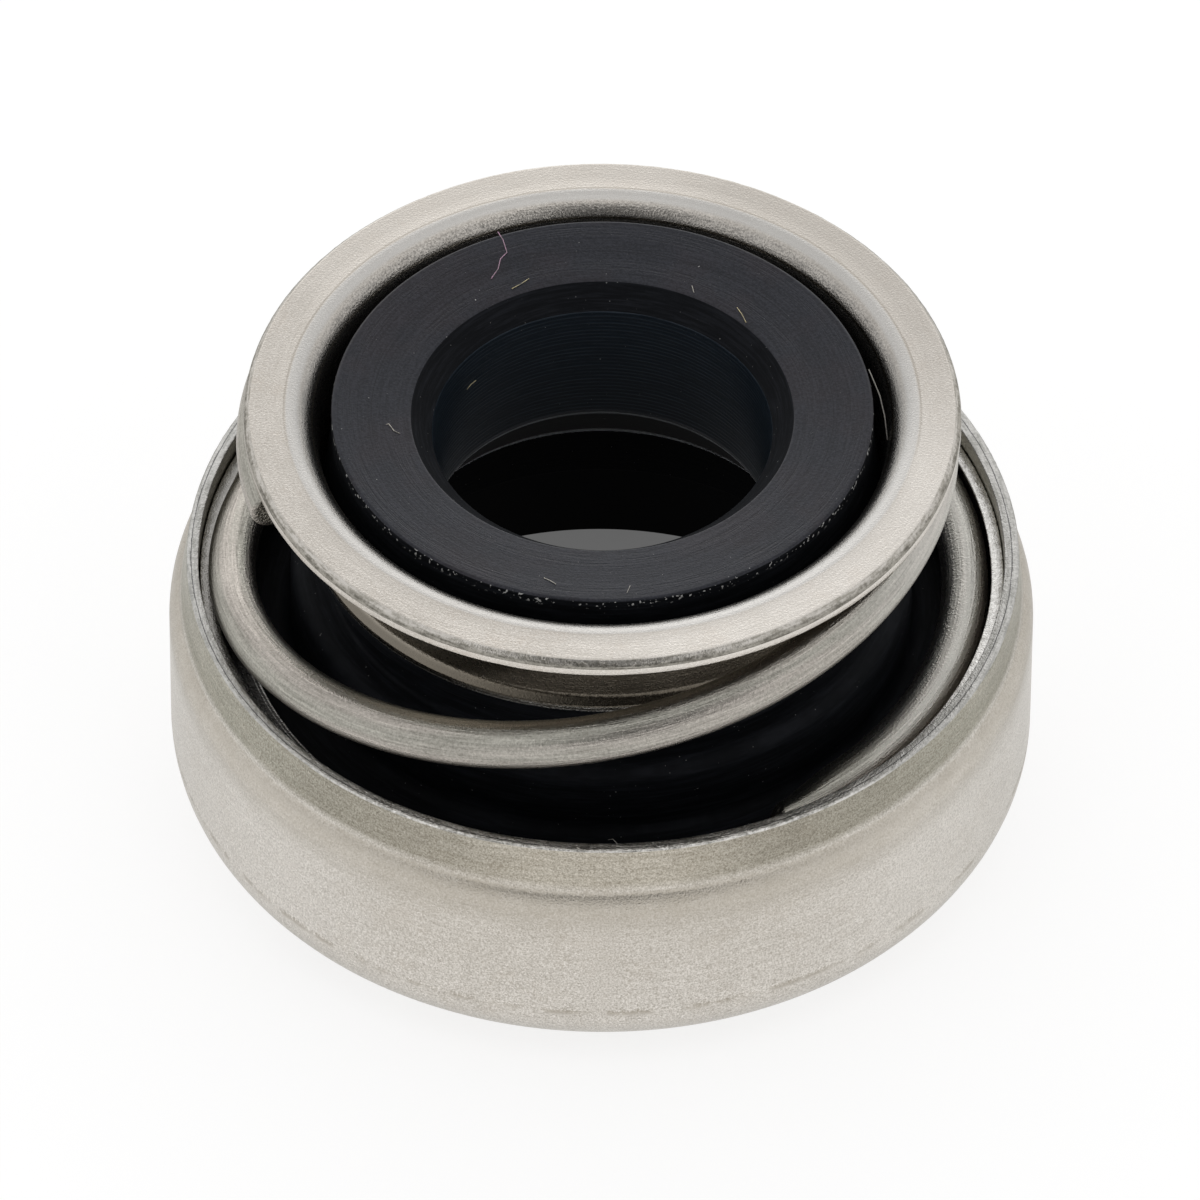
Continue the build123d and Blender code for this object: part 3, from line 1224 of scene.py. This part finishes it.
# ----- the wire
def wire_finish():
    """Drawn wire: lines that run along it, from its own place attribute, with painted light on
    its right side.
    """
    material, g, surface, axis = new_finish("drawn_wire")
    place = g.attribute("wire_place")["Vector"]
    cut = g.attribute("cut_face")["Fac"]
    lines = g.noise(g.vector("MULTIPLY", place, (0.2, 6.0, 6.0)), 1.5, 3.0, 0.7)
    grain = g.noise(axis["Millimetres"], 8.5, 1.5, 0.8)
    bands = g.noise(g.vector("MULTIPLY", place, (0.06, 1.3, 1.3)), 1.0, 2.0)
    fine = g.plus(g.swing(lines, 1.6), g.swing(grain, 1.2))
    tone = g.plus(fine, 0.5, clamp=True)
    drawn = g.mix(tone, (0.23, 0.22, 0.20), (0.585, 0.56, 0.525))
    tint = g.mix(g.rise(bands, 0.35, 0.65), (0.86, 0.87, 0.83), (1.0, 0.965, 0.94))
    drawn = g.multiplied(1.0, drawn, tint)
    # painted light on the right side
    right_side_light = g.rise(g.split(axis["Direction"])["X"], 0.6, 0.95, 0.3)
    drawn = g.mix(right_side_light, drawn, (0.80, 0.785, 0.755))
    sheared = g.mix(g.rise(grain, 0.4, 0.62), (0.05, 0.046, 0.04), (0.30, 0.28, 0.24))
    rough = g.plus(g.times(tone, -0.1), 0.34)
    height = g.plus(fine, g.times(cut, grain, 6.0))
    finish_metal(g, surface, g.mix(cut, drawn, sheared), rough, height)
    return material


# ----- the rubber
def worked_rubber():
    """Black rubber cut by a tool: the turned face, its chamfer and the bore, with dust."""
    material, g, surface, axis = new_finish("turned_rubber")
    r, z = axis["Radius"], axis["Height"]
    place = g.ring_place(axis["Direction"], 4.0, g.plus(r, z), 7.0)
    turned_lines = g.noise(place, 1.0, 3.0, 0.7)
    grain = g.noise(axis["Millimetres"], 8.0, 1.5, 0.8)
    fine = g.plus(g.times(turned_lines, 0.5), g.times(grain, 0.6))
    face = g.mix(g.rise(fine, 0.4, 0.72), (0.001, 0.001, 0.002), (0.026, 0.026, 0.033))
    patches = g.noise(axis["Millimetres"], 0.22, 3.0, 0.6)
    cloudy = g.mix(g.rise(patches, 0.42, 0.6), (0.008, 0.011, 0.018), (0.014, 0.011, 0.016))
    face = g.mix(0.4, face, cloudy)
    grooves = g.band(r, 10.58, 10.61, 0.02)
    grooves = g.plus(grooves, g.band(r, 10.74, 10.76, 0.02), clamp=True)
    broken = g.times(grooves, g.span(turned_lines, 0.3, 0.6, 0.3, 0.8))
    face = g.mix(broken, face, (0.0, 0.0, 0.001))
    ribs = g.rise(g.math("SINE", g.times(z, 28.0)), -0.2, 1.0)
    ribs = g.times(ribs, g.rise(turned_lines, 0.3, 0.6))
    bore = g.mix(ribs, (0.006, 0.0105, 0.016), (0.020, 0.029, 0.040))
    colour = g.mix(g.rise(z, 22.1, lead_in_top_z), bore, face)
    dust_place = g.vector("ADD", axis["Millimetres"], dust_shift)
    dust = g.rise(g.noise(dust_place, 7.5, 2.5, 0.6), 0.735, 0.80)
    colour = g.mix(dust, colour, dust_colour)
    height = g.plus(fine, g.times(ribs, 0.3))
    finish_rubber(g, surface, colour, 0.33, 0.3, (0.95, 0.95, 1.0), height)
    return material


def moulded_rubber():
    """Black rubber as it left the mould: dull, with painted highlights on two lips below the
    bore and painted shade in the cone and cavity.
    """
    material, g, surface, axis = new_finish("moulded_rubber")
    r, z = axis["Radius"], axis["Height"]
    place = g.ring_place(axis["Direction"], 4.0, g.plus(r, z), 5.0)
    marks = g.noise(place, 1.0, 3.0, 0.7)
    colour = g.mix(g.rise(marks, 0.4, 0.75), (0.0015, 0.002, 0.003), (0.009, 0.010, 0.013))
    # painted highlight along the bore's upper lip
    upper_lip_highlight = g.times(g.fade(r, 8.1, 8.2), g.band(z, 14.48, 14.66, 0.04))
    colour = g.mix(upper_lip_highlight, colour, (0.42, 0.44, 0.46))
    # painted shade: the cone and the cavity below it made near black
    cone = g.times(g.fade(r, 12.2, 12.3), g.fade(z, 14.3, 14.4))
    colour = g.mix(cone, colour, (0.0, 0.0, 0.0005))
    # painted highlight along the lower lip
    lower_lip_highlight = g.times(g.fade(r, 10.15, 10.3), g.band(z, 11.1, 11.8, 0.12))
    colour = g.mix(lower_lip_highlight, colour, (0.95, 0.97, 1.0))
    dust_place = g.vector("ADD", axis["Millimetres"], dust_shift)
    dust = g.times(g.rise(g.noise(dust_place, 6.5, 1.0), 0.77, 0.8), 0.3)
    edge = g.times(g.rise(r, 12.35, 12.4), g.rise(z, 22.0, 22.3))
    shed = g.times(edge, g.rise(g.noise(dust_place, 5.0, 1.0), 0.62, 0.68))
    colour = g.mix(g.math("MAXIMUM", dust, shed), colour, dust_colour)
    finish_rubber(g, surface, colour, 0.7, 0.13, (0.93, 0.95, 1.0), marks)
    return material


# ----- the lint and the carbon
def lint_finish():
    """Fibres, each in its own tint."""
    material, g, surface, axis = new_finish("lint")
    tint = g.attribute("lint_tint")["Color"]
    mottle = g.rise(g.noise(axis["Millimetres"], 6.0, 2.0), 0.3, 0.8)
    colour = g.mix(mottle, tint, (0.2, 0.19, 0.18))
    g.settle(surface, {"Base Color": colour, "Roughness": 0.8})
    return material


def carbon_finish():
    """Near-black carbon with a fine speckle."""
    material, g, surface, axis = new_finish("carbon_face")
    grain = g.noise(axis["Millimetres"], 8.0, 3.0)
    colour = g.mix(grain, (0.001, 0.001, 0.0015), (0.005, 0.005, 0.006))
    g.settle(surface, {"Base Color": colour, "Roughness": 0.5, "Specular IOR Level": 0.08})
    return material


for piece, finish in (
    (shell, cup_finish()),
    (spring_seat, seat_finish()),
    (spring_holder, holder_finish()),
    (spring, wire_finish()),
    (rubber, worked_rubber()),
    (rubber, moulded_rubber()),
    (face_lint, lint_finish()),
    (sealing_ring, carbon_finish()),
):
    piece.data.materials.append(finish)
cup_lint.data.materials.append(face_lint.data.materials[0])


# ------------------------------------------------------- floor, light and camera
white = (1.0, 1.0, 1.0)
floor_size = 3.0            # metres
floor_drop = -0.02 * MM
floor_bright = 0.72         # as seen; inside the seal's own shade it is shade_bright
shade_bright = 0.12
shade_in_r, shade_out_r = 0.0152, 0.0164


def studio_floor():
    """A white floor that is darker inside the seal, where no light comes down."""
    bm = bmesh.new()
    bmesh.ops.create_grid(bm, x_segments=1, y_segments=1, size=floor_size)
    bmesh.ops.translate(bm, vec=(0.0, 0.0, floor_drop), verts=bm.verts)
    floor = linked_object("studio_floor", bm)
    material = bpy.data.materials.new("white_floor")
    material.use_nodes = True
    material.node_tree.nodes.clear()
    g = Graph(material.node_tree)
    matt = {"Base Color": (0.35, 0.35, 0.35), "Roughness": 1.0, "Specular IOR Level": 0.0}
    surface = g.add("ShaderNodeBsdfPrincipled", matt)
    path = g.add("ShaderNodeLightPath").outputs
    seen = g.plus(path["Is Camera Ray"], path["Is Glossy Ray"])
    seen = g.plus(seen, path["Is Transmission Ray"], clamp=True)
    radius = g.measure("LENGTH", g.add("ShaderNodeTexCoord").outputs["Object"])
    bright = g.span(radius, shade_in_r, shade_out_r, shade_bright, floor_bright)
    glow = g.add("ShaderNodeEmission", {"Color": white, "Strength": g.times(seen, bright)})
    lit = g.add("ShaderNodeAddShader", {0: surface.outputs[0], 1: glow.outputs[0]})
    g.add("ShaderNodeOutputMaterial", {0: lit.outputs[0]})
    floor.data.materials.append(material)


def studio_world():
    """A white tent, brighter low behind, with a dark opening where the lens looks in."""
    world = bpy.data.worlds.new("white_tent")
    bpy.context.scene.world = world
    world.use_nodes = True
    world.node_tree.nodes.clear()
    g = Graph(world.node_tree)
    direction = g.add("ShaderNodeTexCoord").outputs["Generated"]
    toward = g.split(direction)
    behind = g.rise(toward["Y"], -0.1, 0.6)
    low = g.fade(toward["Z"], 0.42, 0.66, 0.55)
    high = g.rise(toward["Z"], 0.6, 0.85)
    aside = g.rise(g.math("ABSOLUTE", toward["X"]), 0.25, 0.6)
    low = g.times(low, g.inverse(aside))
    tent = g.plus(g.span(aside, 0.0, 1.0, 1.0, 0.92), g.times(behind, low))
    tent = g.math("SUBTRACT", tent, g.times(high, behind, 0.28))
    toward_lens = g.measure("DOT_PRODUCT", direction, (0.0, -0.707, 0.707))
    opening = g.span(toward_lens, 0.88, 0.98, 1.0, 0.03)
    light = {"Color": white, "Strength": g.times(tent, opening)}
    back = g.add("ShaderNodeBackground", light)
    g.add("ShaderNodeOutputWorld", {0: back.outputs[0]})


camera_tilt = math.radians(45.05)
camera_roll = math.radians(-0.32)
camera_away = 830.9 * MM
picture_size = 1200.0
picture_middle = 600.0
aim_x, aim_y = 601.6, 553.2         # where the axis at the rim's height falls in the picture


def studio_camera():
    """A long lens that looks down at the middle of the cup's rim."""
    focus = Vector((0.0, 0.0, cup_rim_z * MM))
    forward = Vector((0.0, math.cos(camera_tilt), -math.sin(camera_tilt)))
    level_up = Vector((0.0, math.sin(camera_tilt), math.cos(camera_tilt)))
    level_right = Vector((1.0, 0.0, 0.0))
    right = level_right * math.cos(camera_roll) - level_up * math.sin(camera_roll)
    up = level_right * math.sin(camera_roll) + level_up * math.cos(camera_roll)
    data = bpy.data.cameras.new("camera")
    data.sensor_width = 36.0
    data.lens = 540.0
    data.shift_x = (picture_middle - aim_x) / picture_size
    data.shift_y = -(picture_middle - aim_y) / picture_size
    data.clip_start = 0.05
    data.clip_end = 10.0
    camera = bpy.data.objects.new("camera", data)
    bpy.context.scene.collection.objects.link(camera)
    pose = Matrix((right, up, -forward)).transposed().to_4x4()
    pose.translation = focus - forward * camera_away
    camera.matrix_world = pose
    bpy.context.scene.camera = camera


studio_floor()
studio_world()
studio_camera()
bpy.context.scene.view_settings.view_transform = "Standard"
